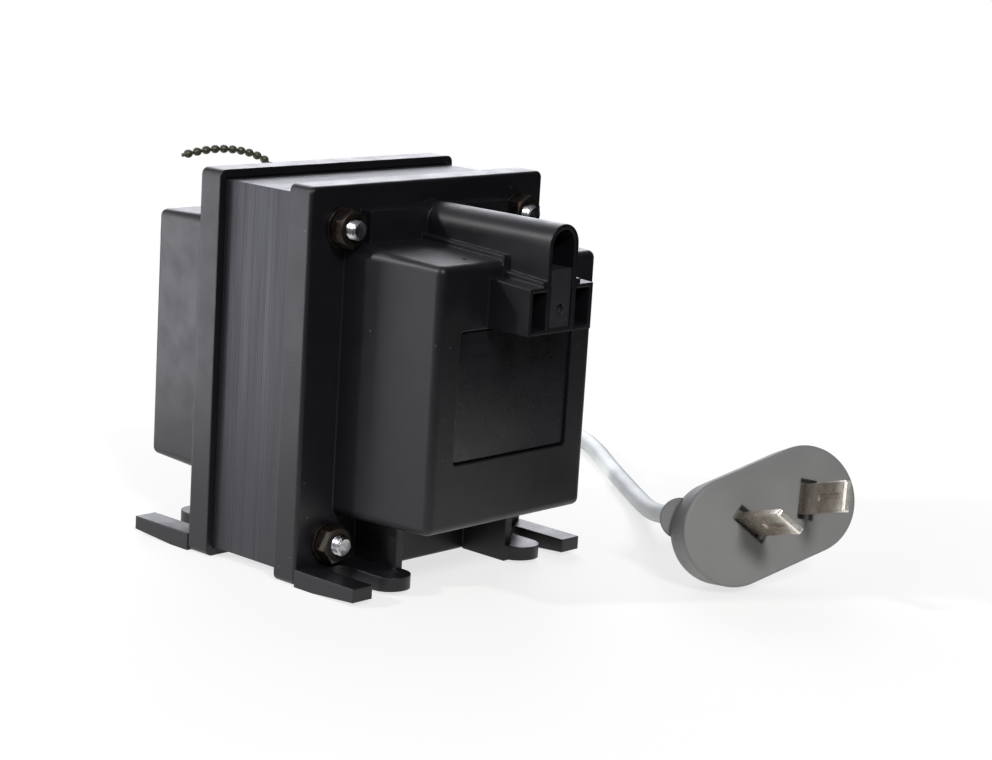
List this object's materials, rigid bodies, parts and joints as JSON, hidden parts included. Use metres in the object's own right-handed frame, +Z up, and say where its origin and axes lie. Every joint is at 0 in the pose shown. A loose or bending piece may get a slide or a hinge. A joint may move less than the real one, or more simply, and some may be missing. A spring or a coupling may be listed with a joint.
{
  "type": "travel voltage converter",
  "caption": "Mains step-down transformer clamped between two black moulded covers with feet, an outlet at the back and a lead with a flat two-pin plug.",
  "frame": {"origin": "on the floor under the middle of the object without its lead", "axes": "+X to the right seen from the front, +Y to the back, where the outlet and the lead are, +Z up"},
  "size_m": [0.1487, 0.2026, 0.08],
  "materials": {
    "cover": "black moulded plastic, satin",
    "panel": "black, smooth, a little glossy",
    "grip": "dark grey, satin",
    "outlet": "black, smooth",
    "contact_brass": "spring brass",
    "core_steel": "varnished laminations",
    "bobbin": "natural nylon",
    "enamelled_copper": "enamelled copper wire",
    "tape": "yellow polyester tape",
    "fuse": "bare case",
    "zinc_steel": "zinc plated",
    "dark_steel": "dull, tarnished",
    "cord_pvc": "light grey, satin",
    "plug": "mid grey, satin",
    "pin_brass": "nickelled brass, tarnished",
    "tie": "dark olive nylon"
  },
  "bodies": {
    "root": {"front_cover": "cover", "rear_cover": "cover", "front_plate": "panel", "grip_plug": "grip", "outlet_body": "outlet", "outlet_contacts": "contact_brass", "e_laminations": "core_steel", "i_laminations": "core_steel", "bobbin": "bobbin", "primary_winding": "enamelled_copper", "secondary_winding": "enamelled_copper", "interlayer_insulation": "tape", "outer_tape": "tape", "thermal_fuse": "fuse", "through_bolts": "zinc_steel", "washers": "dark_steel", "hex_nuts": "dark_steel", "cord_sleeve": "cord_pvc", "cord_tail": "cord_pvc", "mains_cord_rear": "cord_pvc", "mains_cord_front": "cord_pvc", "mains_cord_coil": "cord_pvc", "plug_body": "plug", "plug_pins": "pin_brass", "beaded_tie": "tie"}
  },
  "joints": []
}
